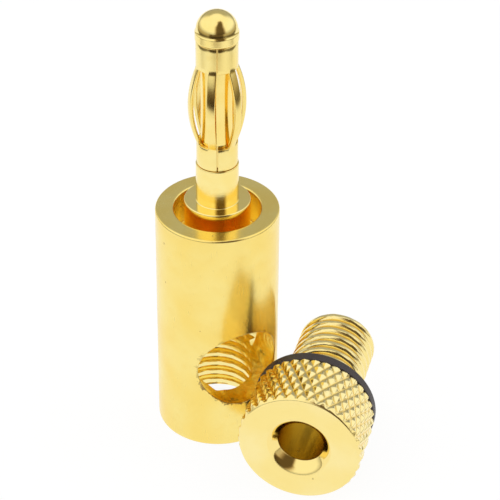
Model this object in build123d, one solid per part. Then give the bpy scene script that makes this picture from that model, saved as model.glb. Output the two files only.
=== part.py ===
"""Gold-plated 4 mm banana plug, standing on its open end, with its thumb screw taken off.

The frame's origin is the centre of the barrel's open end, +Z runs up the plug to the tip of
its pin, and -Y is the front, where the seam of the lantern spring is.
Azimuths are measured from the front towards +X.  Lengths are in millimetres.
"""

from build123d import *
from math import ceil, cos, pi, radians, sin, sqrt, tan
import os

# Barrel
BARREL_DIAMETER = 10.5
BARREL_LENGTH = 21.7
BARREL_EDGE_BREAK = 0.2
RECESS_DIAMETER = 7.4
RECESS_DEPTH = 3.0
RECESS_EDGE_BREAK = 0.15
SIDE_HOLE_DIAMETER = 7.3
SIDE_HOLE_HEIGHT = 8.05
SIDE_HOLE_AZIMUTH = 26.5
SIDE_HOLE_DEPTH = 4.85
DRILL_POINT_ANGLE = 118.0

# Thread of the thumb screw and of the barrel's bore
THREAD_DIAMETER = 6.8
THREAD_ENGAGEMENT = 0.35
BORE_DEPTH = 14.0
BORE_MOUTH_CHAMFER = 0.45

# Contact pin: one turned piece from its pressed-in tail to its domed head
TAIL_DIAMETER = 3.0
TAIL_LENGTH = 3.2
TAIL_CHAMFER = 0.2
BOSS_DIAMETER = 5.6
BOSS_RISE = 0.9
BOSS_EDGE_BREAK = 0.12
STEM_DIAMETER = 3.6
STEM_LENGTH = 3.6
STEM_EDGE_BREAK = 0.08
CORE_DIAMETER = 2.7
HEAD_RIM_DIAMETER = 3.6
HEAD_RIM_HEIGHT = 0.35
HEAD_CONE_HEIGHT = 0.5
HEAD_CONE_INSET = 0.12
DOME_DIAMETER = 3.24

# Lantern spring: one rolled sheet with two collars and a ring of bowed leaves
SHEET_THICKNESS = 0.34
SPRING_RADIAL_CLEARANCE = 0.04
SPRING_END_PLAY = 0.05
LOWER_COLLAR_LENGTH = 2.05
LEAF_LENGTH = 7.1
UPPER_COLLAR_LENGTH = 2.35
LEAF_COUNT = 6
LEAF_WIDTH = 0.7
LEAF_BOW = 0.7
FIRST_LEAF_AZIMUTH = -12.0
SEAM_WIDTH = 0.1

# Thumb screw, whose head is a little wider than the barrel
SCREW_HEAD_DIAMETER = 10.75
SCREW_HEAD_LENGTH = 5.5
SCREW_HEAD_EDGE_BREAK = 0.15
FACE_CHAMFER_INSET = 0.25
FACE_CHAMFER_LENGTH = 0.45
SCREW_SHANK_LENGTH = 10.0
SCREW_TIP_CHAMFER = 0.45
NECK_DIAMETER = 5.8
CABLE_HOLE_DIAMETER = 3.95
COUNTERSINK_DIAMETER = 5.6
COUNTERSINK_DEPTH = 0.9

# Diamond knurl of the screw's head: as many left-hand as right-hand grooves
KNURL_GROOVES = 35
KNURL_DIAMOND_LENGTH = 1.72
KNURL_DEPTH = 0.22
KNURL_TURN = 1.4

# Polarity ring on the screw's neck
RING_INSET = 0.08
RING_THICKNESS = 0.9
RING_RADIAL_CLEARANCE = 0.06
RING_END_PLAY = 0.03
RING_EDGE_BREAK = 0.08

# Where the loose screw lies: level on its heavy head, close beside the barrel, with its face
# towards the front and the back of its ring ahead of the barrel's axis
SCREW_HEADING = 14.2
SCREW_GAP_TO_BARREL = 0.35
RING_AHEAD_OF_BARREL_AXIS = 3.47

# Derived sizes
barrel_radius = BARREL_DIAMETER / 2
recess_radius = RECESS_DIAMETER / 2
recess_floor = BARREL_LENGTH - RECESS_DEPTH
thread_radius = THREAD_DIAMETER / 2
bore_radius = thread_radius - THREAD_ENGAGEMENT
tail_radius = TAIL_DIAMETER / 2
boss_top = BARREL_LENGTH + BOSS_RISE
stem_top = boss_top + STEM_LENGTH
spring_bottom = stem_top + SPRING_END_PLAY
leaf_bottom = spring_bottom + LOWER_COLLAR_LENGTH
leaf_top = leaf_bottom + LEAF_LENGTH
spring_top = leaf_top + UPPER_COLLAR_LENGTH
head_bottom = spring_top + SPRING_END_PLAY
spring_inner_radius = CORE_DIAMETER / 2 + SPRING_RADIAL_CLEARANCE
spring_outer_radius = spring_inner_radius + SHEET_THICKNESS
head_radius = SCREW_HEAD_DIAMETER / 2
ring_radius = head_radius - RING_INSET
neck_radius = NECK_DIAMETER / 2
neck_length = RING_THICKNESS + 2 * RING_END_PLAY
ring_front = -RING_END_PLAY
ring_back = ring_front - RING_THICKNESS
cable_hole_radius = CABLE_HOLE_DIAMETER / 2


def turned(*outline):
    """Solid turned about Z from (radius, height) points."""
    wire = Polyline(*[(radius, 0, height) for radius, height in outline], close=True)
    return revolve(make_face(wire), Axis.Z)


def drill_point_height(radius):
    """Height of the cone that a drill of this radius leaves at the end of its hole."""
    return radius / tan(radians(DRILL_POINT_ANGLE / 2))


def drill(radius, depth):
    """Drill along +Z: full radius up to the given depth, then its point."""
    tip = depth + drill_point_height(radius)
    return turned((0, 0), (radius, 0), (radius, depth), (0, tip))


def barrel():
    """Thick turned tube with a recess on top, a tapped bore below and a drilled side hole."""
    edge = BARREL_EDGE_BREAK
    outside = turned(
        (0, 0),
        (barrel_radius - edge, 0),
        (barrel_radius, edge),
        (barrel_radius, BARREL_LENGTH - edge),
        (barrel_radius - edge, BARREL_LENGTH),
        (0, BARREL_LENGTH),
    )
    lip = RECESS_EDGE_BREAK
    recess = turned(
        (0, recess_floor),
        (recess_radius, recess_floor),
        (recess_radius, BARREL_LENGTH - lip),
        (recess_radius + lip, BARREL_LENGTH),
        (0, BARREL_LENGTH),
    )
    mouth = BORE_MOUTH_CHAMFER
    countersink = turned((0, 0), (bore_radius + mouth, 0), (bore_radius, mouth), (0, mouth))
    bore = drill(bore_radius, BORE_DEPTH)
    tail_hole = Pos(0, 0, BORE_DEPTH) * Cylinder(
        tail_radius, recess_floor - BORE_DEPTH, align=(Align.CENTER, Align.CENTER, Align.MIN)
    )
    run_in = barrel_radius
    inward = Plane(
        origin=(0, -barrel_radius - run_in, SIDE_HOLE_HEIGHT), x_dir=(1, 0, 0), z_dir=(0, 1, 0)
    )
    side_hole = Rot(0, 0, SIDE_HOLE_AZIMUTH) * (
        inward * drill(SIDE_HOLE_DIAMETER / 2, run_in + SIDE_HOLE_DEPTH)
    )
    return outside - recess - countersink - bore - tail_hole - side_hole


def contact_pin():
    """Turned pin: tail, boss, stem, thinner core inside the spring, and rimmed domed head."""
    tail_end = recess_floor - TAIL_LENGTH
    boss_radius = BOSS_DIAMETER / 2
    stem_radius = STEM_DIAMETER / 2
    core_radius = CORE_DIAMETER / 2
    rim_radius = HEAD_RIM_DIAMETER / 2
    dome_radius = DOME_DIAMETER / 2
    rim_top = head_bottom + HEAD_RIM_HEIGHT
    cone_top = rim_top + HEAD_CONE_HEIGHT
    body = turned(
        (0, tail_end),
        (tail_radius - TAIL_CHAMFER, tail_end),
        (tail_radius, tail_end + TAIL_CHAMFER),
        (tail_radius, recess_floor),
        (boss_radius, recess_floor),
        (boss_radius, boss_top - BOSS_EDGE_BREAK),
        (boss_radius - BOSS_EDGE_BREAK, boss_top),
        (stem_radius, boss_top),
        (stem_radius, stem_top - STEM_EDGE_BREAK),
        (stem_radius - STEM_EDGE_BREAK, stem_top),
        (core_radius, stem_top),
        (core_radius, head_bottom),
        (rim_radius, head_bottom),
        (rim_radius, rim_top),
        (rim_radius - HEAD_CONE_INSET, cone_top),
        (0, cone_top),
    )
    upper_half = Sphere(dome_radius, arc_size1=0, align=(Align.CENTER, Align.CENTER, Align.MIN))
    return body + Pos(0, 0, cone_top) * upper_half


def bowed_tube():
    """Full tube of the sheet's thickness, bowed outwards between the two collars."""
    middle = (leaf_bottom + leaf_top) / 2
    inner, outer = spring_inner_radius, spring_outer_radius
    outside = ThreePointArc((outer, 0, leaf_bottom), (outer + LEAF_BOW, 0, middle), (outer, 0, leaf_top))
    inside = ThreePointArc((inner, 0, leaf_top), (inner + LEAF_BOW, 0, middle), (inner, 0, leaf_bottom))
    top = Line((outer, 0, leaf_top), (inner, 0, leaf_top))
    bottom = Line((inner, 0, leaf_bottom), (outer, 0, leaf_bottom))
    return revolve(make_face([outside, top, inside, bottom]), Axis.Z)


def lantern_spring():
    """Rolled sheet sleeve: two collars split by a seam, joined by evenly spaced bowed leaves."""
    sheet = bowed_tube()
    reach = spring_outer_radius + LEAF_BOW + SHEET_THICKNESS
    blade = Box(
        LEAF_WIDTH, reach, LEAF_LENGTH, align=(Align.CENTER, Align.MAX, Align.MIN)
    )
    leaves = [
        sheet & (Rot(0, 0, FIRST_LEAF_AZIMUTH + 360 * i / LEAF_COUNT) * Pos(0, 0, leaf_bottom) * blade)
        for i in range(LEAF_COUNT)
    ]
    seam = Rot(0, 0, FIRST_LEAF_AZIMUTH) * Pos(LEAF_WIDTH / 2, 0, spring_bottom) * Box(
        SEAM_WIDTH, reach, spring_top - spring_bottom, align=(Align.MIN, Align.MAX, Align.MIN)
    )
    collars = [
        turned(
            (spring_inner_radius, low),
            (spring_outer_radius, low),
            (spring_outer_radius, high),
            (spring_inner_radius, high),
        )
        - seam
        for low, high in ((spring_bottom, leaf_bottom), (leaf_top, spring_top))
    ]
    return collars[0] + leaves + collars[1]


def knurled_rod():
    """Rod of diamond pyramids from the back of the screw's head to past its face.

    Its points lie in rows across and columns along the rod.  Peaks and groove crossings take
    turns in both, and each peak is joined to the crossings around it by four flat facets.
    """
    columns = 2 * KNURL_GROOVES
    row_height = KNURL_DIAMOND_LENGTH / 2
    last_row = ceil(SCREW_HEAD_LENGTH / row_height) + 1

    def is_peak(column, row):
        return (column + row) % 2 == 1

    def point(column, row):
        angle = radians(KNURL_TURN) + 2 * pi * column / columns
        radius = head_radius if is_peak(column, row) else head_radius - KNURL_DEPTH
        return Vector(radius * cos(angle), radius * sin(angle), row * row_height)

    facets = []
    for row in range(last_row + 1):
        for column in range(columns):
            if not is_peak(column, row):
                continue
            for side in (-1, 1):
                for next_row in (row - 1, row + 1):
                    if 0 <= next_row <= last_row:
                        corners = [(column, row), (column + side, row), (column, next_row)]
                        facets.append(flat_facet([point(*corner) for corner in corners]))
    for row in (0, last_row):
        facets.append(flat_facet([point(column, row) for column in range(columns)]))
    return Solid(Shell(facets))


def flat_facet(corners):
    """Flat face with straight edges between the corners."""
    return Face(Wire.make_polygon(corners, close=True))


def screw_head():
    """Knurled head between its two flat ends, with a chamfer at each."""
    back_edge = SCREW_HEAD_EDGE_BREAK
    past = 1.0
    widest = head_radius + past
    face_slope = FACE_CHAMFER_LENGTH / FACE_CHAMFER_INSET
    blank = turned(
        (0, 0),
        (head_radius - back_edge, 0),
        (widest, back_edge + past),
        (widest, SCREW_HEAD_LENGTH - (FACE_CHAMFER_INSET + past) * face_slope),
        (head_radius - FACE_CHAMFER_INSET, SCREW_HEAD_LENGTH),
        (0, SCREW_HEAD_LENGTH),
    )
    return knurled_rod() & blank


def thumb_screw():
    """Screw about its own Z: face of the head at the top, back of the head at 0, shank below."""
    tip = -SCREW_SHANK_LENGTH
    shank = turned(
        (0, tip),
        (thread_radius - SCREW_TIP_CHAMFER, tip),
        (thread_radius, tip + SCREW_TIP_CHAMFER),
        (thread_radius, -neck_length),
        (neck_radius, -neck_length),
        (neck_radius, 0),
        (0, 0),
    )
    cable_hole = turned(
        (0, tip),
        (cable_hole_radius, tip),
        (cable_hole_radius, SCREW_HEAD_LENGTH - COUNTERSINK_DEPTH),
        (COUNTERSINK_DIAMETER / 2, SCREW_HEAD_LENGTH),
        (0, SCREW_HEAD_LENGTH),
    )
    return screw_head() + shank - cable_hole


def polarity_ring():
    """Plain ring on the screw's neck, in the screw's own place about Z."""
    inner = neck_radius + RING_RADIAL_CLEARANCE
    edge = RING_EDGE_BREAK
    return turned(
        (inner, ring_back),
        (ring_radius - edge, ring_back),
        (ring_radius, ring_back + edge),
        (ring_radius, ring_front - edge),
        (ring_radius - edge, ring_front),
        (inner, ring_front),
    )


def lying_screw_plane():
    """Plane of the lying screw: origin at the back of its head, Z from its tip to its face.

    Its axis is level, as high as its widest radius, and so far from the barrel's axis that
    the near corner of the ring's back keeps the named gap to the barrel.
    """
    heading = radians(SCREW_HEADING)
    forward = Vector(-sin(heading), -cos(heading), 0)
    sideways = Vector(cos(heading), -sin(heading), 0)
    reach = barrel_radius + SCREW_GAP_TO_BARREL
    axis_distance = ring_radius + sqrt(reach**2 - RING_AHEAD_OF_BARREL_AXIS**2)
    head_back_ahead = RING_AHEAD_OF_BARREL_AXIS - ring_back
    height = max(head_radius, ring_radius)
    origin = sideways * axis_distance + forward * head_back_ahead + Vector(0, 0, height)
    return Plane(origin=origin, x_dir=sideways, z_dir=forward)


lying = lying_screw_plane()

nodes = {
    "barrel": barrel(),
    "contact_pin": contact_pin(),
    "lantern_spring": lantern_spring(),
    "thumb_screw": lying * thumb_screw(),
    "polarity_ring": lying * polarity_ring(),
}

os.makedirs("parts", exist_ok=True)
for name, solid in nodes.items():
    export_step(solid, f"parts/{name}.step")
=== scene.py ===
import bmesh
import bpy
import math
from mathutils import Matrix, Vector

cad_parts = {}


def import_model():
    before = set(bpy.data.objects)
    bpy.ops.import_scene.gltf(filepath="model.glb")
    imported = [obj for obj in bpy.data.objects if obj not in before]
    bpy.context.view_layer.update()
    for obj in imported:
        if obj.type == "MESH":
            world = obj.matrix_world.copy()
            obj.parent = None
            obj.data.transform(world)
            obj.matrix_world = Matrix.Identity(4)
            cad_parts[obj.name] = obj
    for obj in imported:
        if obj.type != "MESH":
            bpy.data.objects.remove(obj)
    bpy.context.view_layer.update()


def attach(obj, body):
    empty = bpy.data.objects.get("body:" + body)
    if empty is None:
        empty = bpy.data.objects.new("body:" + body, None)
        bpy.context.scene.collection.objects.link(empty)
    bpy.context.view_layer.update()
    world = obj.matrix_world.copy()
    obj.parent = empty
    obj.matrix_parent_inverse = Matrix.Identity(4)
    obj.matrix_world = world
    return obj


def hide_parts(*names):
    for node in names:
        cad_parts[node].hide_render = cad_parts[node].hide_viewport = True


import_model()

# Lengths are in millimetres, as in the part's source, and MM turns them into metres.
# Azimuths are measured from the front towards +X.
MM = 0.001
TAU = 2 * math.pi
DRILL_SLOPE = math.tan(math.radians(59))

# Barrel
BARREL_RADIUS = 5.25
BARREL_LENGTH = 21.7
BARREL_EDGE = 0.17
BARREL_FOOT_EDGE = 0.32
FOOT_MIDDLE = 4.3
RECESS_RADIUS = 3.7
RECESS_FLOOR = BARREL_LENGTH - 3.0
RECESS_EDGE = 0.18
RECESS_CORNER = 0.1
TAIL_RADIUS = 1.5
BORE_RADIUS = 3.05
BORE_END = 14.0
BORE_CONE_TOP = BORE_END + (BORE_RADIUS - TAIL_RADIUS) / DRILL_SLOPE
BORE_CHAMFER = 0.45
SIDE_HOLE_RADIUS = 3.65
SIDE_HOLE_HEIGHT = 8.05
SIDE_HOLE_AZIMUTH = math.radians(26.5)
SIDE_HOLE_END = 0.4
SIDE_HOLE_EDGE = 0.1

# Threads
PITCH = 1.0
BORE_THREAD_DEPTH = 0.42
BORE_THREAD_CREST = 0.34
BORE_THREAD_TOP = 13.0
BORE_RUN_OUT = 0.6
SHANK_RADIUS = 3.35
SHANK_THREAD_DEPTH = 0.5
SHANK_THREAD_CREST = 0.28

# Contact pin
TAIL_END = RECESS_FLOOR - 3.2
TAIL_CHAMFER = 0.2
TAIL_CLEARANCE = 0.001
BOSS_RADIUS = 2.8
BOSS_TOP = BARREL_LENGTH + 0.9
BOSS_EDGE = 0.11
STEM_RADIUS = 1.8
STEM_TOP = BOSS_TOP + 3.6
STEM_FOOT = 0.08
STEM_EDGE = 0.07
CORE_RADIUS = 1.35
PIN_CORNER = 0.05
HEAD_BOTTOM = 37.8
HEAD_RADIUS = 1.8
RIM_EDGE = 0.09
RIM_SHOULDER = 0.13
CONE_TOP = HEAD_BOTTOM + 0.85
DOME_RADIUS = 1.62
DOME_FOOT_RADIUS = 1.71

# Lantern spring
SHEET = 0.34
SPRING_RADIUS = CORE_RADIUS + 0.04 + SHEET
SPRING_BOTTOM = STEM_TOP + 0.05
LEAF_BOTTOM = SPRING_BOTTOM + 2.05
LEAF_TOP = LEAF_BOTTOM + 7.1
SPRING_TOP = LEAF_TOP + 2.35
LEAF_WIDTH = 0.7
LEAF_BOW = 0.7
LEAF_COUNT = 6
LEAF_STEP = TAU / LEAF_COUNT
FIRST_LEAF = math.radians(-12)
SEAM = 0.1
SHEET_EDGE = 0.045

# Thumb screw about its own Z: face at the top, back of the head at 0, shank below
SCREW_RADIUS = 5.375
HEAD_LENGTH = 5.5
HEAD_EDGE = 0.15
SHANK_TIP = -10.0
TIP_CHAMFER = 0.45
NECK_RADIUS = 2.9
NECK_END = -0.96
NECK_RUN_OUT = (0.7, 0.15)
CABLE_HOLE_RADIUS = 1.975
COUNTERSINK_RADIUS = 2.8
COUNTERSINK_DEPTH = 0.9
COUNTERSINK_EDGE = 1.35
KNURLS_AROUND = 35
KNURL_PERIOD = 1.72
KNURL_DEPTH = 0.21
KNURL_LAND = 0.16
KNURL_TURN = math.radians(1.4)
FACE_CHAMFER_INSET = 0.25
FACE_CHAMFER_LENGTH = 0.45
FACE_FILLET = 0.13
FACE_RADIUS = SCREW_RADIUS - FACE_CHAMFER_INSET - FACE_FILLET
BACK_RADIUS = SCREW_RADIUS - HEAD_EDGE

# Polarity ring
RING_INNER = NECK_RADIUS + 0.06
RING_RADIUS = SCREW_RADIUS - 0.08
RING_FRONT = -0.03
RING_BACK = RING_FRONT - 0.9
RING_MIDDLE = 4.0
RING_EDGE = 0.1
RING_CORNER = 0.05

# Place of the lying screw: level, beside the barrel, its face towards the front
SCREW_HEADING = math.radians(14.2)
GAP_TO_BARREL = 0.35
RING_AHEAD = 3.47

# How finely the turned pieces are divided, around and along
ARC_STEPS = 5
BARREL_STEPS = 192
BORE_ROWS = 210
DRILL_STEPS = 160
PIN_STEPS = 128
DOME_ROWS = 28
RING_STEPS = 192
SHANK_STEPS = 4 * KNURLS_AROUND
SHANK_ROWS = 150
HEAD_STEPS = 3 * SHANK_STEPS
KNURL_ROWS = 84
FACE_FILLET_ROWS = 6

# Camera: its place around the target, and its focal length in pixels of the picture
CAMERA_DISTANCE = 183.75
CAMERA_ELEVATION = math.radians(34.66)
CAMERA_ROLL = math.radians(0.46)
CAMERA_TARGET = Vector((2.773, 0, 17.288))
FOCAL_PIXELS = 2154.8
PICTURE_PIXELS = 500
SENSOR_WIDTH = 36.0

# Light tent: headings and elevations in degrees
GAP_AZIMUTH = 19.0
GAP_LEAN = 18.0
DIM_COLOUR = (1.0, 0.70, 0.38)
WHITE = (1.0, 1.0, 1.0)

# Paper and the room beyond it, as reflections see them, in metres
PAPER_EDGE = (0.062, 0.084)
PAPER_GLOW = 0.94
CAMERA_GLOW = 0.92
ROOM_DEPTH = (0.08, 0.26)
ROOM_COLOUR = (1.0, 0.86, 0.62)

# Deep, pale and worn colour of each plating
BARREL_GOLD = ((0.99, 0.755, 0.21), (1.0, 0.81, 0.28), (0.98, 0.72, 0.18))
PIN_GOLD = ((0.99, 0.775, 0.25), (1.0, 0.83, 0.33), (0.98, 0.73, 0.20))
SCREW_GOLD = ((0.99, 0.80, 0.30), (1.0, 0.84, 0.38), (0.985, 0.77, 0.26))
PIT_COLOUR = (0.30, 0.17, 0.05)
BURR_COLOUR = (0.30, 0.19, 0.06)

# Zones of a plating: inner and outer radius, bottom and top, more roughness, colour
# Painted light: a paler gold inside the bore stands in for the light that reaches its threads
BORE_PAINTED_LIGHT = (0.0, 5.16, -1.0, 16.0, -0.10, (1.0, 0.86, 0.36))
# Painted shade: a deeper gold in the recess stands in for light bouncing between its gold walls
RECESS_PAINTED_SHADE = (1.4, 3.74, 16.1, 21.62, 0.0, (1.0, 0.80, 0.24))
# Painted shade: the same deeper gold on the pin's boss down in the recess
BOSS_SIDE_PAINTED_SHADE = (2.72, 2.9, 18.0, 22.47, 0.0, (1.0, 0.80, 0.26))
# Painted light: a paler gold over the knurl makes it look more brightly lit
KNURL_PAINTED_LIGHT = (5.0, 5.5, 0.1, 5.1, -0.03, (1.0, 0.85, 0.40))
# Painted shade: a deeper gold in the knurl's valleys
KNURL_ROOTS_PAINTED_SHADE = (5.0, 5.20, 0.2, 5.0, 0.04, (0.96, 0.72, 0.24))
# Painted shade: a dark brown in the roots of the shank's thread
THREAD_ROOTS_PAINTED_SHADE = (2.88, 3.08, -9.9, -1.1, 0.08, (0.74, 0.52, 0.15))
# Painted shade: a darker gold down the cable hole
CABLE_HOLE_PAINTED_SHADE = (0.0, 1.99, -11.0, 4.75, 0.0, (0.74, 0.60, 0.22))
COUNTERSINK = (2.0, 2.75, 4.5, 5.42, -0.07, (0.98, 0.78, 0.29))


def ramp(value, low, high):
    """0 below low, 1 above high, smooth between."""
    t = min(1.0, max(0.0, (value - low) / (high - low)))
    return t * t * (3 - 2 * t)


def rounded(outline):
    """Points of an outline of (radius, height, fillet) corners, with arcs and support points."""
    points = []
    last = len(outline) - 1
    for i, (r, z, fillet) in enumerate(outline):
        here = Vector((r, z))
        if fillet <= 0 or i in (0, last):
            points.append((r, z))
            continue
        before = Vector(outline[i - 1][:2]) - here
        after = Vector(outline[i + 1][:2]) - here
        a, b = before.normalized(), after.normalized()
        half = a.angle(b) / 2
        reach = min(fillet / math.tan(half), 0.45 * before.length, 0.45 * after.length)
        radius = reach * math.tan(half)
        centre = here + (a + b).normalized() * (radius / math.sin(half))
        start, end = here + a * reach, here + b * reach
        support = min(0.3 * radius, 0.05 * before.length, 0.05 * after.length)
        arm = start - centre
        turn = arm.angle_signed(end - centre)
        points.append(tuple(start + a * support))
        for k in range(ARC_STEPS + 1):
            angle = -turn * k / ARC_STEPS
            c, s = math.cos(angle), math.sin(angle)
            points.append((centre.x + arm.x * c - arm.y * s, centre.y + arm.x * s + arm.y * c))
        points.append(tuple(end + b * support))
    return points


def turned_grid(rows, steps):
    """Points of rows around Z, each a radius, or a function of angle and height, and a height."""
    verts = []
    for radius, height in rows:
        for j in range(steps):
            angle = TAU * j / steps
            r = radius(angle, height) if callable(radius) else radius
            verts.append((r * math.cos(angle), r * math.sin(angle), height))
    return verts


def grid_faces(rows, steps, start=0, closed=False):
    """Quads between neighbouring rows, and between the last and the first where it is closed."""
    faces = []
    for i in range(rows if closed else rows - 1):
        a, b = start + i * steps, start + ((i + 1) % rows) * steps
        for j in range(steps):
            k = (j + 1) % steps
            faces.append((a + j, a + k, b + k, b + j))
    return faces


def stitch(fine, coarse, steps):
    """Faces between a ring of 3 * steps points and a ring of steps points, given their first ones."""
    faces = []
    for j in range(steps):
        a, b, c, d = [fine + (3 * j + i) % (3 * steps) for i in range(4)]
        here, after = coarse + j, coarse + (j + 1) % steps
        faces += [(here, a, b), (here, b, c, after), (after, c, d)]
    return faces


def new_piece(name, verts, faces, smooth_angle=None):
    """Object from points in millimetres, smooth apart from edges sharper than the given angle."""
    mesh = bpy.data.meshes.new(name)
    mesh.from_pydata([(x * MM, y * MM, z * MM) for x, y, z in verts], [], faces)
    bm = bmesh.new()
    bm.from_mesh(mesh)
    bmesh.ops.remove_doubles(bm, verts=bm.verts, dist=1e-8)
    bmesh.ops.recalc_face_normals(bm, faces=bm.faces)
    bm.to_mesh(mesh)
    bm.free()
    shade_smooth(mesh, smooth_angle)
    piece = bpy.data.objects.new(name, mesh)
    bpy.context.scene.collection.objects.link(piece)
    return piece


def shade_smooth(mesh, smooth_angle):
    for polygon in mesh.polygons:
        polygon.use_smooth = True
    if smooth_angle:
        mesh.set_sharp_from_angle(angle=math.radians(smooth_angle))


def turned_piece(name, points, steps):
    return new_piece(name, turned_grid(points, steps), grid_faces(len(points), steps), 40)


def apply_modifiers(piece):
    bpy.context.view_layer.update()
    evaluated = piece.evaluated_get(bpy.context.evaluated_depsgraph_get())
    done = bpy.data.meshes.new_from_object(evaluated)
    piece.modifiers.clear()
    piece.data = done


def settle(piece, place=None):
    """Keeps each point's own place for the materials, then moves the piece's mesh to its place."""
    mesh = piece.data
    own = mesh.attributes.new("own_mm", "FLOAT_VECTOR", "POINT")
    for item, vert in zip(own.data, mesh.vertices):
        item.vector = vert.co / MM
    if place:
        mesh.transform(place)
    return piece


def thread_groove(turns, crest):
    """0 on a crest and 1 in a root, for a height in turns of the thread."""
    t = abs((turns % 1.0) - 0.5) * 2
    return ramp(t, crest, 0.97)


def bore_radius_at(angle, height):
    """Radius of the tapped bore: right-hand thread that runs out below the bore's end."""
    chamfer = BORE_RADIUS + max(0.0, BORE_CHAMFER - height)
    if height >= BORE_END:
        return BORE_RADIUS
    fade = 1 - ramp(height, BORE_THREAD_TOP - BORE_RUN_OUT, BORE_THREAD_TOP)
    groove = thread_groove(height / PITCH - angle / TAU, BORE_THREAD_CREST)
    return max(chamfer, BORE_RADIUS + groove * fade * BORE_THREAD_DEPTH)


def barrel_rows():
    """Rows around the tube's wall: up the outside, down the recess, and down the tapped bore."""
    rows = rounded([
        (FOOT_MIDDLE, 0, 0),
        (BARREL_RADIUS, 0, BARREL_FOOT_EDGE),
        (BARREL_RADIUS, BARREL_LENGTH, BARREL_EDGE),
        (RECESS_RADIUS, BARREL_LENGTH, RECESS_EDGE),
        (RECESS_RADIUS, RECESS_FLOOR, RECESS_CORNER),
        (TAIL_RADIUS, RECESS_FLOOR, 0),
        (TAIL_RADIUS, BORE_CONE_TOP, 0),
    ])
    for t in (0.25, 0.5, 0.75):
        radius = TAIL_RADIUS + (BORE_RADIUS - TAIL_RADIUS) * t
        rows.append((radius, BORE_CONE_TOP + (BORE_END - BORE_CONE_TOP) * t))
    rows += [(bore_radius_at, BORE_END * (1 - k / BORE_ROWS)) for k in range(BORE_ROWS + 1)]
    return rows


def side_drill(outward):
    """Cutter of the side hole, pointed at its inner end and lying along the hole's axis."""
    far = 9.0
    rows = [
        (0.0, SIDE_HOLE_END - SIDE_HOLE_RADIUS / DRILL_SLOPE),
        (SIDE_HOLE_RADIUS, SIDE_HOLE_END),
        (SIDE_HOLE_RADIUS, far),
        (0.0, far),
    ]
    verts = turned_grid([(r + 1e-4, z) for r, z in rows], DRILL_STEPS)
    faces = grid_faces(len(rows), DRILL_STEPS)
    faces.append(tuple(range(DRILL_STEPS)))
    faces.append(tuple(range(3 * DRILL_STEPS, 4 * DRILL_STEPS)))
    drill = new_piece("drill", verts, faces)
    side = Vector((0, 0, 1)).cross(outward)
    drill.matrix_world = Matrix((
        (side.x, 0, outward.x, 0),
        (side.y, 0, outward.y, 0),
        (0, 1, 0, SIDE_HOLE_HEIGHT * MM),
        (0, 0, 0, 1),
    ))
    return drill


def barrel_piece():
    rows = barrel_rows()
    verts = turned_grid(rows, BARREL_STEPS)
    faces = grid_faces(len(rows), BARREL_STEPS, closed=True)
    barrel = new_piece("barrel_body", verts, faces)
    outward = Vector((math.sin(SIDE_HOLE_AZIMUTH), -math.cos(SIDE_HOLE_AZIMUTH), 0))
    drill = side_drill(outward)
    cut = barrel.modifiers.new("cut", "BOOLEAN")
    cut.object = drill
    cut.operation = "DIFFERENCE"
    cut.solver = "EXACT"
    apply_modifiers(barrel)
    bpy.data.objects.remove(drill)
    soften_side_hole(barrel.data, outward)
    return settle(barrel)


def soften_side_hole(mesh, outward):
    """Rounds the drilled hole's outer edge and marks the other sharp edges."""
    bm = bmesh.new()
    bm.from_mesh(mesh)
    centre = Vector((0, 0, SIDE_HOLE_HEIGHT))

    def on_rim(vert):
        p = vert.co / MM
        off = p - centre
        across = (off - outward * off.dot(outward)).length
        radial = math.hypot(p.x, p.y)
        return abs(across - SIDE_HOLE_RADIUS) < 0.02 and abs(radial - BARREL_RADIUS) < 0.01

    rim = [v for v in bm.verts if on_rim(v)]
    bmesh.ops.remove_doubles(bm, verts=rim, dist=0.02 * MM)
    rim = {v for v in bm.verts if on_rim(v)}
    edges = [
        e for e in bm.edges
        if e.verts[0] in rim and e.verts[1] in rim and e.calc_face_angle(0) > 0.4
    ]
    bmesh.ops.bevel(
        bm, geom=edges, offset=SIDE_HOLE_EDGE * MM, offset_type="OFFSET", segments=3,
        profile=0.5, affect="EDGES", clamp_overlap=False,
    )
    bm.to_mesh(mesh)
    bm.free()
    shade_smooth(mesh, 38)


def pin_piece():
    tail = TAIL_RADIUS - TAIL_CLEARANCE
    body = rounded([
        (TAIL_RADIUS - TAIL_CHAMFER, TAIL_END, 0),
        (tail, TAIL_END + TAIL_CHAMFER, 0),
        (tail, RECESS_FLOOR, 0),
        (BOSS_RADIUS, RECESS_FLOOR, PIN_CORNER),
        (BOSS_RADIUS, BOSS_TOP, BOSS_EDGE),
        (STEM_RADIUS, BOSS_TOP, STEM_FOOT),
        (STEM_RADIUS, STEM_TOP, STEM_EDGE),
        (CORE_RADIUS, STEM_TOP, PIN_CORNER),
        (CORE_RADIUS, HEAD_BOTTOM, PIN_CORNER),
        (HEAD_RADIUS, HEAD_BOTTOM, RIM_EDGE),
        (HEAD_RADIUS, CONE_TOP - RIM_SHOULDER, RIM_EDGE),
        (DOME_FOOT_RADIUS + 0.01, CONE_TOP - 0.02, 0.02),
    ])
    dome = []
    for k in range(1, DOME_ROWS):
        a = TAU / 4 * k / DOME_ROWS
        dome.append((DOME_FOOT_RADIUS * math.cos(a), CONE_TOP + DOME_RADIUS * math.sin(a)))
    points = [(0.0, TAIL_END)] + body + dome + [(0.0, CONE_TOP + DOME_RADIUS)]
    return settle(turned_piece("pin_body", points, PIN_STEPS))


def spring_heights():
    """Heights of the sleeve's rows: lower collar, leaves, upper collar."""
    parts = ((SPRING_BOTTOM, LEAF_BOTTOM, 6), (LEAF_BOTTOM, LEAF_TOP, 48), (LEAF_TOP, SPRING_TOP, 6))
    heights = [low + (high - low) * k / rows for low, high, rows in parts for k in range(rows)]
    return heights + [SPRING_TOP]


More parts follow.
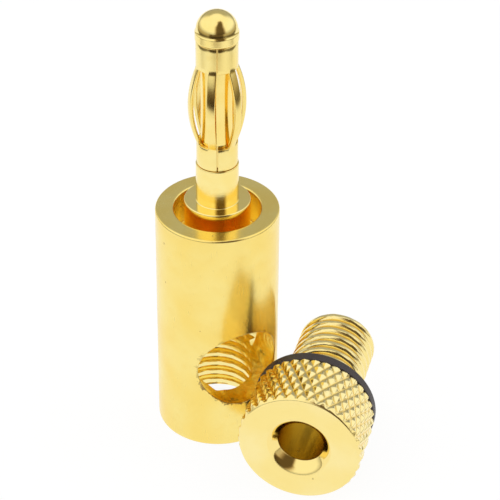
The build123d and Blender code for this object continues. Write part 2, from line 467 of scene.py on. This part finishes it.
def spring_columns():
    """Azimuths of the sleeve's columns from its first leaf, each with what follows it."""
    half_leaf = LEAF_WIDTH / 2 / SPRING_RADIUS
    columns = []
    for i in range(LEAF_COUNT):
        middle = LEAF_STEP * i
        columns += [(middle + half_leaf * (k / 4 - 1), "leaf") for k in range(8)]
        first = middle + half_leaf
        if i == 0:
            columns.append((first, "seam"))
            first += SEAM / SPRING_RADIUS
        gap = middle + LEAF_STEP - half_leaf - first
        columns += [(first + gap * k / 10, "gap") for k in range(10)]
    return columns


def spring_point(angle, height):
    """Point outside on the sleeve: its leaves bow out and keep their width."""
    radius = SPRING_RADIUS
    if LEAF_BOTTOM < height < LEAF_TOP:
        t = (height - LEAF_BOTTOM) / (LEAF_TOP - LEAF_BOTTOM)
        radius += LEAF_BOW * (1 - (2 * t - 1) ** 2)
        middle = round(angle / LEAF_STEP) * LEAF_STEP
        angle = middle + (angle - middle) * SPRING_RADIUS / radius
    azimuth = angle + FIRST_LEAF
    return radius * math.sin(azimuth), -radius * math.cos(azimuth), height


def spring_piece():
    """Sheet sleeve: its columns follow the edges of the leaves and of the seam."""
    heights, columns = spring_heights(), spring_columns()
    rows = len(heights)
    verts = [spring_point(angle, height) for angle, _ in columns for height in heights]
    faces = []
    for c, (_, kind) in enumerate(columns):
        a, b = c * rows, (c + 1) % len(columns) * rows
        for h in range(rows - 1):
            in_leaves = LEAF_BOTTOM <= (heights[h] + heights[h + 1]) / 2 <= LEAF_TOP
            if kind == "leaf" or (kind == "gap" and not in_leaves):
                faces.append((a + h, b + h, b + h + 1, a + h + 1))
    piece = new_piece("spring_body", verts, faces)
    face_outwards(piece.data)
    thick = piece.modifiers.new("thickness", "SOLIDIFY")
    thick.thickness = SHEET * MM
    thick.offset = -1
    thick.use_even_offset = True
    soft = piece.modifiers.new("edges", "BEVEL")
    soft.width = SHEET_EDGE * MM
    soft.segments = 2
    soft.limit_method = "ANGLE"
    soft.angle_limit = math.radians(50)
    apply_modifiers(piece)
    return settle(piece)


def face_outwards(mesh):
    """Drops points without faces and turns each face away from Z."""
    bm = bmesh.new()
    bm.from_mesh(mesh)
    bmesh.ops.delete(bm, geom=[v for v in bm.verts if not v.link_faces], context="VERTS")
    for face in bm.faces:
        middle = face.calc_center_median()
        if face.normal.dot(Vector((middle.x, middle.y, 0))) < 0:
            face.normal_flip()
    bm.to_mesh(mesh)
    bm.free()


def knurl_radius(angle, height):
    """Head radius under a diamond knurl, cut down at both edges of the head."""
    around = KNURLS_AROUND * (angle - KNURL_TURN) / TAU
    along = height / KNURL_PERIOD
    du = abs(((around + along) % 1.0) - 0.5) * 2
    dv = abs(((around - along) % 1.0) - 0.5) * 2
    valley = (du ** 6 + dv ** 6) ** (1 / 6)
    depth = KNURL_DEPTH * max(0.0, valley - KNURL_LAND) / (1 - KNURL_LAND)
    slope = FACE_CHAMFER_INSET / FACE_CHAMFER_LENGTH
    front = SCREW_RADIUS - FACE_CHAMFER_INSET + max(0.0, HEAD_LENGTH - height) * slope
    turned_in = max(0.0, height - HEAD_LENGTH + FACE_FILLET)
    front -= FACE_FILLET - math.sqrt(max(0.0, FACE_FILLET ** 2 - turned_in ** 2))
    back = BACK_RADIUS + max(0.0, height)
    return min(SCREW_RADIUS - depth, front, back)


def shank_radius_at(angle, height):
    """Right-hand outside thread, running out at the neck and cut by the tip's chamfer."""
    chamfer = SHANK_RADIUS - max(0.0, SHANK_TIP + TIP_CHAMFER - height)
    early, late = NECK_RUN_OUT
    fade = 1 - ramp(height, NECK_END - early, NECK_END - late)
    groove = thread_groove(height / PITCH - angle / TAU, SHANK_THREAD_CREST)
    return min(chamfer, SHANK_RADIUS - groove * fade * SHANK_THREAD_DEPTH)


def head_rows():
    """Rows up the knurled side of the head and around the edge of its face."""
    straight = HEAD_LENGTH - FACE_FILLET
    heights = [straight * k / KNURL_ROWS for k in range(KNURL_ROWS)]
    for k in range(FACE_FILLET_ROWS + 1):
        heights.append(straight + FACE_FILLET * math.sin(TAU / 4 * k / FACE_FILLET_ROWS))
    return [(knurl_radius, height) for height in heights]


def shank_rows():
    """Rows over the face, down the cable hole, up the shank and out under the head."""
    face = rounded([
        (FACE_RADIUS, HEAD_LENGTH, 0),
        (COUNTERSINK_RADIUS, HEAD_LENGTH, COUNTERSINK_EDGE),
        (CABLE_HOLE_RADIUS, HEAD_LENGTH - COUNTERSINK_DEPTH, 0.1),
        (CABLE_HOLE_RADIUS, SHANK_TIP, 0.06),
        (SHANK_RADIUS - TIP_CHAMFER, SHANK_TIP, 0),
    ])
    rows = [(FACE_RADIUS - 0.03, HEAD_LENGTH)] + face[1:]
    for k in range(1, SHANK_ROWS + 1):
        rows.append((shank_radius_at, SHANK_TIP + (NECK_END - SHANK_TIP) * k / SHANK_ROWS))
    return rows + [(NECK_RADIUS, NECK_END), (NECK_RADIUS, 0.0), (BACK_RADIUS - 0.1, 0.0)]


def screw_piece():
    """Head and shank, whose grids are stitched together at the face and at the head's back."""
    head, shank = head_rows(), shank_rows()
    first = len(head) * HEAD_STEPS
    verts = turned_grid(head, HEAD_STEPS) + turned_grid(shank, SHANK_STEPS)
    faces = grid_faces(len(head), HEAD_STEPS)
    faces += grid_faces(len(shank), SHANK_STEPS, first)
    faces += stitch(first - HEAD_STEPS, first, SHANK_STEPS)
    faces += stitch(0, first + (len(shank) - 1) * SHANK_STEPS, SHANK_STEPS)
    return settle(new_piece("screw_body", verts, faces, 35), lying_matrix())


def lying_matrix():
    """Place of the lying screw: its own Z runs from its tip to its face."""
    z = Vector((-math.sin(SCREW_HEADING), -math.cos(SCREW_HEADING), 0))
    x = Vector((-z.y, z.x, 0))
    y = z.cross(x)
    reach = BARREL_RADIUS + GAP_TO_BARREL
    beside = RING_RADIUS + math.sqrt(reach ** 2 - RING_AHEAD ** 2)
    origin = (x * beside + z * (RING_AHEAD - RING_BACK) + Vector((0, 0, SCREW_RADIUS))) * MM
    return Matrix((
        (x.x, y.x, z.x, origin.x),
        (x.y, y.y, z.y, origin.y),
        (x.z, y.z, z.z, origin.z),
        (0, 0, 0, 1),
    ))


def ring_piece():
    points = rounded([
        (RING_MIDDLE, RING_BACK, 0),
        (RING_RADIUS, RING_BACK, RING_EDGE),
        (RING_RADIUS, RING_FRONT, RING_EDGE),
        (RING_INNER, RING_FRONT, RING_CORNER),
        (RING_INNER, RING_BACK, RING_CORNER),
        (RING_MIDDLE, RING_BACK, 0),
    ])
    return settle(turned_piece("ring_body", points, RING_STEPS), lying_matrix())


class Nodes:
    """Short names for adding and linking shader nodes."""

    def __init__(self, tree):
        self.tree = tree
        tree.nodes.clear()

    def add(self, kind, **values):
        node = self.tree.nodes.new(kind)
        for key, value in values.items():
            setattr(node, key, value)
        return node

    def link(self, out, into):
        self.tree.links.new(out, into)

    def value(self, node, socket, value):
        if hasattr(value, "is_output"):
            self.link(value, node.inputs[socket])
        else:
            node.inputs[socket].default_value = value

    def math(self, operation, a, b=0.0, c=0.0, clamp=False):
        node = self.add("ShaderNodeMath", operation=operation, use_clamp=clamp)
        for socket, value in enumerate((a, b, c)):
            self.value(node, socket, value)
        return node.outputs[0]

    def product(self, first, *others):
        for other in others:
            first = self.math("MULTIPLY", first, other)
        return first

    def length(self, x, y):
        squares = self.math("ADD", self.product(x, x), self.product(y, y))
        return self.math("SQRT", squares)

    def degrees(self, y, x):
        return self.product(self.math("ARCTAN2", y, x), 180 / math.pi)

    def smooth(self, value, low, high, out_low=0.0, out_high=1.0):
        node = self.add("ShaderNodeMapRange", interpolation_type="SMOOTHSTEP")
        for socket, x in enumerate((value, low, high, out_low, out_high)):
            self.value(node, socket, x)
        return node.outputs[0]

    def split(self, vector):
        node = self.add("ShaderNodeSeparateXYZ")
        self.link(vector, node.inputs[0])
        return node.outputs

    def noise(self, vector, scale, detail=3.0, roughness=0.5):
        node = self.add("ShaderNodeTexNoise")
        self.link(vector, node.inputs["Vector"])
        return self.set_noise(node, scale, detail, roughness)

    def noise_along(self, length, scale, detail, roughness):
        node = self.add("ShaderNodeTexNoise", noise_dimensions="1D")
        self.link(length, node.inputs["W"])
        return self.set_noise(node, scale, detail, roughness)

    def set_noise(self, node, scale, detail, roughness):
        node.inputs["Scale"].default_value = scale
        node.inputs["Detail"].default_value = detail
        node.inputs["Roughness"].default_value = roughness
        return node.outputs["Fac"]

    def mix(self, factor, a, b):
        node = self.add("ShaderNodeMix", data_type="RGBA")
        self.value(node, 0, factor)
        for socket, value in ((6, a), (7, b)):
            colour = value if hasattr(value, "is_output") else (*value, 1)
            self.value(node, socket, colour)
        return node.outputs[2]

    def bump(self, height, strength):
        node = self.add("ShaderNodeBump")
        node.inputs["Strength"].default_value = strength
        node.inputs["Distance"].default_value = 0.02 * MM
        self.link(height, node.inputs["Height"])
        return node.outputs[0]


def surface_material(name):
    """Material with an empty tree but for its shader, and each point's own place in millimetres."""
    material = bpy.data.materials.new(name)
    material.use_nodes = True
    n = Nodes(material.node_tree)
    out = n.add("ShaderNodeOutputMaterial")
    shader = n.add("ShaderNodeBsdfPrincipled")
    n.link(shader.outputs[0], out.inputs[0])
    own = n.add("ShaderNodeAttribute", attribute_name="own_mm")
    return material, n, shader.inputs, own.outputs["Vector"]


def sparse_pits(n, space):
    """1 in small round pits that lie far apart."""
    cells = n.add("ShaderNodeTexVoronoi", feature="F1")
    cells.inputs["Scale"].default_value = 0.75
    cells.inputs["Randomness"].default_value = 1.0
    n.link(space, cells.inputs["Vector"])
    chance = n.add("ShaderNodeSeparateColor")
    n.link(cells.outputs["Color"], chance.inputs[0])
    here = n.smooth(chance.outputs[0], 0.62, 0.64)
    size = n.math("MULTIPLY_ADD", chance.outputs[1], 0.07, 0.05)
    near = n.smooth(n.math("DIVIDE", cells.outputs["Distance"], size), 0.5, 1.0, 1.0, 0.0)
    return n.product(near, here)


def scratches(n, space):
    """1 in fine scratches that run along the piece."""
    stretched = n.add("ShaderNodeMapping")
    stretched.inputs["Scale"].default_value = (5.0, 5.0, 0.35)
    stretched.inputs["Rotation"].default_value = (0.3, 0.5, 0.2)
    n.link(space, stretched.inputs["Vector"])
    return n.smooth(n.noise(stretched.outputs["Vector"], scale=2.2, detail=2.0), 0.66, 0.74)


def zone_mask(n, around, z, zone):
    """1 inside a zone's ranges of radius and height."""
    soft = 0.02
    inner, outer, bottom, top = zone[:4]
    return n.product(
        n.smooth(around, inner - soft, inner),
        n.smooth(around, outer, outer + soft, 1.0, 0.0),
        n.smooth(z, bottom - soft, bottom),
        n.smooth(z, top, top + soft, 1.0, 0.0),
    )


def burr_marks(n, space, x, y, z, around):
    """1 on the torn flecks that the drill left around the side hole, most of them below it."""
    across = n.product(x, math.cos(SIDE_HOLE_AZIMUTH))
    across = n.math("MULTIPLY_ADD", y, math.sin(SIDE_HOLE_AZIMUTH), across)
    up = n.math("SUBTRACT", z, SIDE_HOLE_HEIGHT)
    off = n.length(across, up)
    torn = n.noise(space, scale=1.9, detail=4.0, roughness=0.75)
    width = n.smooth(torn, 0.42, 0.68, 0.0, 0.34)
    outer = n.math("ADD", width, SIDE_HOLE_RADIUS)
    facing = n.product(x, math.sin(SIDE_HOLE_AZIMUTH))
    facing = n.math("MULTIPLY_ADD", y, -math.cos(SIDE_HOLE_AZIMUTH), facing)
    return n.product(
        n.smooth(n.math("SUBTRACT", off, outer), -0.03, 0.03, 1.0, 0.0),
        n.smooth(off, SIDE_HOLE_RADIUS - 0.02, SIDE_HOLE_RADIUS + 0.02),
        n.smooth(up, -2.4, 0.0, 1.0, 0.35),
        n.smooth(facing, 0.0, 0.5),
        n.smooth(around, 5.0, 5.1),
    )


def gold(name, colours, roughness, turning=0.0, pits=0.5, waviness=0.5, zones=(), burr=False):
    """Gold plating: slow colour drift, smudges, sparse pits, turning marks and fine scratches.

    A zone has its own colour and more roughness, for one range of radius and one of height in
    millimetres. Most zone colours are painted light and shade: a paler gold in the bore and on the
    knurl is painted light, and a deeper gold in the recess, on the boss's side, in the knurl's and
    thread's roots and down the cable hole is painted shade. The countersink's zone is a slightly
    deeper, smoother gold.
    """
    material, n, shader, space = surface_material(name)
    shader["Metallic"].default_value = 1.0
    x, y, z = n.split(space)
    around = n.length(x, y)
    drift = n.noise(space, scale=0.22, detail=2.0)
    smudge = n.noise(space, scale=0.9, detail=4.0, roughness=0.6)
    fine = n.noise(space, scale=14.0, detail=3.0, roughness=0.6)
    pit = n.product(sparse_pits(n, space), pits)
    scratch = scratches(n, space)
    ring_place = n.math("MULTIPLY_ADD", z, 0.93, around)
    turned_line = n.noise_along(ring_place, scale=16.0, detail=4.0, roughness=0.7)

    deep, pale, worn = colours
    base = n.mix(n.smooth(drift, 0.35, 0.65), deep, pale)
    base = n.mix(n.product(n.smooth(smudge, 0.45, 0.75), 0.35), base, worn)
    rough = n.math("MULTIPLY_ADD", smudge, 0.10, roughness - 0.05)
    rough = n.math("MULTIPLY_ADD", fine, 0.05, rough)
    # Zone colours paint light and shade: paler in the bore and on the knurl, deeper in the recess and
    # hollows
    for zone in zones:
        extra, colour = zone[4:]
        inside = zone_mask(n, around, z, zone)
        base = n.mix(inside, base, colour)
        rough = n.math("MULTIPLY_ADD", inside, extra, rough)
    base = n.mix(n.product(pit, 0.75), base, PIT_COLOUR)
    if burr:
        base = n.mix(burr_marks(n, space, x, y, z, around), base, BURR_COLOUR)
    rough = n.math("MULTIPLY_ADD", scratch, 0.10, rough)
    rough = n.math("MULTIPLY_ADD", pit, 0.25, rough, clamp=True)

    height = n.product(fine, 0.10)
    height = n.math("MULTIPLY_ADD", smudge, 1.2 * waviness, height)
    height = n.math("MULTIPLY_ADD", scratch, -0.10, height)
    height = n.math("MULTIPLY_ADD", pit, -1.2, height)
    height = n.math("MULTIPLY_ADD", turned_line, turning, height)
    n.link(base, shader["Base Color"])
    n.link(rough, shader["Roughness"])
    n.link(n.bump(height, 0.35), shader["Normal"])
    return material


def dark_plastic():
    material, n, shader, space = surface_material("ring_plastic")
    speckle = n.noise(space, scale=9.0, detail=4.0, roughness=0.6)
    cloud = n.noise(space, scale=1.1, detail=3.0)
    base = n.mix(cloud, (0.040, 0.030, 0.030), (0.070, 0.055, 0.052))
    n.link(base, shader["Base Color"])
    n.link(n.math("MULTIPLY_ADD", speckle, 0.2, 0.38), shader["Roughness"])
    n.link(n.bump(speckle, 0.3), shader["Normal"])
    return material


def floor():
    """White paper that ends in front and at the sides; only reflections see where it ends."""
    size = 3.0
    corners = [(-size, -size, 0), (size, -size, 0), (size, size, 0), (-size, size, 0)]
    mesh = bpy.data.meshes.new("floor")
    mesh.from_pydata(corners, [], [(0, 1, 2, 3)])
    surface = bpy.data.objects.new("floor", mesh)
    bpy.context.scene.collection.objects.link(surface)
    mesh.materials.append(paper())


def paper():
    """Paper that glows a little for the camera, and for reflections as far as it reaches."""
    material = bpy.data.materials.new("floor_white")
    material.use_nodes = True
    n = Nodes(material.node_tree)
    out = n.add("ShaderNodeOutputMaterial")
    diffuse = n.add("ShaderNodeBsdfDiffuse")
    glow = n.add("ShaderNodeEmission")
    both = n.add("ShaderNodeAddShader")
    place = n.add("ShaderNodeTexCoord").outputs["Object"]
    path = n.add("ShaderNodeLightPath").outputs
    camera_ray = path["Is Camera Ray"]
    glossy_ray = n.math("MAXIMUM", path["Is Glossy Ray"], path["Is Transmission Ray"])
    x, y, _ = n.split(place)
    behind = n.math("MAXIMUM", y, 0.0)
    beside = n.math("MULTIPLY_ADD", behind, -0.7, n.math("ABSOLUTE", x))
    ahead = n.product(y, -1.0)
    off_paper = n.smooth(n.math("MAXIMUM", beside, ahead), *PAPER_EDGE)
    azimuth = n.degrees(x, ahead)
    gap = n.smooth(n.math("ABSOLUTE", n.math("ADD", azimuth, 2.0)), 30.0, 44.0, 1.0, 0.0)
    room = n.smooth(n.length(x, y), *ROOM_DEPTH, 0.10, 0.50)
    room = n.product(room, n.math("MULTIPLY_ADD", gap, -0.75, 1.0))
    reflected = n.math("MULTIPLY_ADD", off_paper, -PAPER_GLOW, PAPER_GLOW)
    reflected = n.math("MULTIPLY_ADD", off_paper, room, reflected)
    strength = n.product(glossy_ray, reflected)
    strength = n.math("MAXIMUM", strength, n.product(camera_ray, CAMERA_GLOW))
    n.link(strength, glow.inputs["Strength"])
    room_colour = n.mix(gap, ROOM_COLOUR, DIM_COLOUR)
    n.link(n.mix(n.product(off_paper, glossy_ray), WHITE, room_colour), glow.inputs["Color"])
    grain = n.noise(place, scale=40.0, detail=2.0)
    lit = n.mix(grain, (0.80, 0.80, 0.80), (0.82, 0.82, 0.82))
    mirrored = n.mix(off_paper, (0.07, 0.07, 0.07), (0.0, 0.0, 0.0))
    shade = n.mix(glossy_ray, lit, mirrored)
    n.link(n.mix(camera_ray, shade, (0.11, 0.11, 0.11)), diffuse.inputs[0])
    n.link(diffuse.outputs[0], both.inputs[0])
    n.link(glow.outputs[0], both.inputs[1])
    n.link(both.outputs[0], out.inputs[0])
    return material


def world():
    """Light tent: white all round, dimmer low down behind, and a dark gap at the front."""
    sky = bpy.data.worlds.new("tent")
    bpy.context.scene.world = sky
    sky.use_nodes = True
    n = Nodes(sky.node_tree)
    out = n.add("ShaderNodeOutputWorld")
    background = n.add("ShaderNodeBackground")
    x, y, z = n.split(n.add("ShaderNodeTexCoord").outputs["Generated"])
    flat = n.math("MAXIMUM", n.length(x, y), 0.001)
    elevation = n.degrees(z, flat)
    azimuth = n.degrees(x, n.product(y, -1.0))

    from_back = n.math("ABSOLUTE", n.math("ADD", n.math("ABSOLUTE", azimuth), -180.0))
    dim_back = n.product(
        n.smooth(from_back, 30.0, 58.0, 1.0, 0.0),
        n.smooth(elevation, -4.0, 10.0),
        n.smooth(elevation, 44.0, 58.0, 1.0, 0.0),
    )
    level = n.math("MULTIPLY_ADD", dim_back, -0.58, 1.04)
    horizon = n.smooth(elevation, -2.0, 16.0, 1.0, 0.0)
    level = n.math("MULTIPLY_ADD", horizon, -0.45, level)
    level = n.math("MAXIMUM", level, 0.16)

    heading = n.smooth(elevation, 40.0, 70.0, GAP_AZIMUTH, GAP_AZIMUTH + GAP_LEAN)
    gap_off = n.math("ABSOLUTE", n.math("SUBTRACT", azimuth, heading))
    gap = n.smooth(gap_off, 16.0, 38.0, 1.0, 0.0)
    gap = n.product(gap, n.smooth(elevation, 66.0, 80.0, 1.0, 0.0))
    level = n.product(level, n.math("MULTIPLY_ADD", gap, -0.88, 1.0))

    camera_ray = n.add("ShaderNodeLightPath").outputs["Is Camera Ray"]
    unseen = n.math("SUBTRACT", 1.0, camera_ray)
    level = n.math("MULTIPLY_ADD", level, unseen, camera_ray)
    n.link(level, background.inputs["Strength"])
    n.link(n.mix(n.product(gap, unseen), WHITE, DIM_COLOUR), background.inputs["Color"])
    n.link(background.outputs[0], out.inputs[0])


def camera():
    forward = Vector((0, math.cos(CAMERA_ELEVATION), -math.sin(CAMERA_ELEVATION)))
    level_right = Vector((1, 0, 0))
    level_up = level_right.cross(forward)
    right = level_right * math.cos(CAMERA_ROLL) + level_up * math.sin(CAMERA_ROLL)
    up = right.cross(forward)
    place = (CAMERA_TARGET - forward * CAMERA_DISTANCE) * MM
    data = bpy.data.cameras.new("camera")
    data.sensor_width = SENSOR_WIDTH
    data.lens = FOCAL_PIXELS / PICTURE_PIXELS * SENSOR_WIDTH
    data.clip_start = 0.005
    data.clip_end = 20.0
    view = bpy.data.objects.new("camera", data)
    bpy.context.scene.collection.objects.link(view)
    view.matrix_world = Matrix((
        (right.x, up.x, -forward.x, place.x),
        (right.y, up.y, -forward.y, place.y),
        (right.z, up.z, -forward.z, place.z),
        (0, 0, 0, 1),
    ))
    bpy.context.scene.camera = view


bpy.context.scene.view_settings.view_transform = "Standard"
bpy.context.scene.cycles.glossy_bounces = 12
camera()
world()
floor()

gold_barrel = gold("gold_barrel", BARREL_GOLD, 0.20, turning=0.05, zones=(BORE_PAINTED_LIGHT, RECESS_PAINTED_SHADE), burr=True)
gold_pin = gold("gold_pin", PIN_GOLD, 0.10, turning=0.25, pits=0.2, waviness=0.2, zones=(BOSS_SIDE_PAINTED_SHADE,))
gold_spring = gold("gold_spring", PIN_GOLD, 0.16, pits=0.2, waviness=0.2)
screw_zones = (KNURL_PAINTED_LIGHT, KNURL_ROOTS_PAINTED_SHADE, THREAD_ROOTS_PAINTED_SHADE, CABLE_HOLE_PAINTED_SHADE, COUNTERSINK)
gold_screw = gold("gold_screw", SCREW_GOLD, 0.14, turning=0.1, pits=0.6, waviness=0.3, zones=screw_zones)

# Piece, body that it rides, node that it replaces, material slot, material
pieces = [
    (barrel_piece(), "plug", "barrel", "gold_plate", gold_barrel),
    (pin_piece(), "plug", "contact_pin", "gold_plate", gold_pin),
    (spring_piece(), "spring", "lantern_spring", "gold_plate", gold_spring),
    (screw_piece(), "screw", "thumb_screw", "gold_plate", gold_screw),
    (ring_piece(), "ring", "polarity_ring", "dark_ring", dark_plastic()),
]
for piece, body, node, slot, material in pieces:
    piece.data.materials.clear()
    piece.data.materials.append(material)
    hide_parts(node)
    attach(piece, body)
